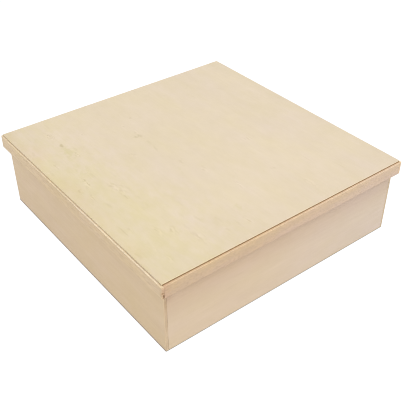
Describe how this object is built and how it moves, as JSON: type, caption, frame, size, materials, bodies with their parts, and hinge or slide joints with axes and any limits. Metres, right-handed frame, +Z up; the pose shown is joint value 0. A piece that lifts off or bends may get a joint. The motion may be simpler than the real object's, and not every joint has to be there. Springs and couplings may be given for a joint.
{
  "type": "bento box",
  "caption": "Square bento box of thin pale wood with butt-jointed walls and a loose lid that slips over them and lifts straight off.",
  "frame": {"origin": "middle of the box's underside, on the surface that it stands on", "axes": "+Z up, the way the lid lifts off; -Y is the front and -X the left side, whose board runs through at the corners with its end grain on the front and back"},
  "size_m": [0.202, 0.202, 0.0585],
  "materials": {
    "bottom_wood": "bare sanded pale wood",
    "wall_wood": "bare sanded pale wood, grain along each board",
    "lid_board_wood": "bare sanded pale wood, grain from front to back, with small dark flecks",
    "rim_wood": "bare sanded pale wood, grain along each strip"
  },
  "bodies": {
    "box": {"bottom_board": "bottom_wood", "wall_left": "wall_wood", "wall_right": "wall_wood", "wall_front": "wall_wood", "wall_back": "wall_wood"},
    "lid": {"lid_board": "lid_board_wood", "lid_rim_left": "rim_wood", "lid_rim_right": "rim_wood", "lid_rim_front": "rim_wood", "lid_rim_back": "rim_wood"}
  },
  "joints": [
    {"name": "lid_lift", "type": "slide", "parent": "box", "child": "lid", "axis": [0, 0, 1], "range_m": [0, 0.06]}
  ]
}
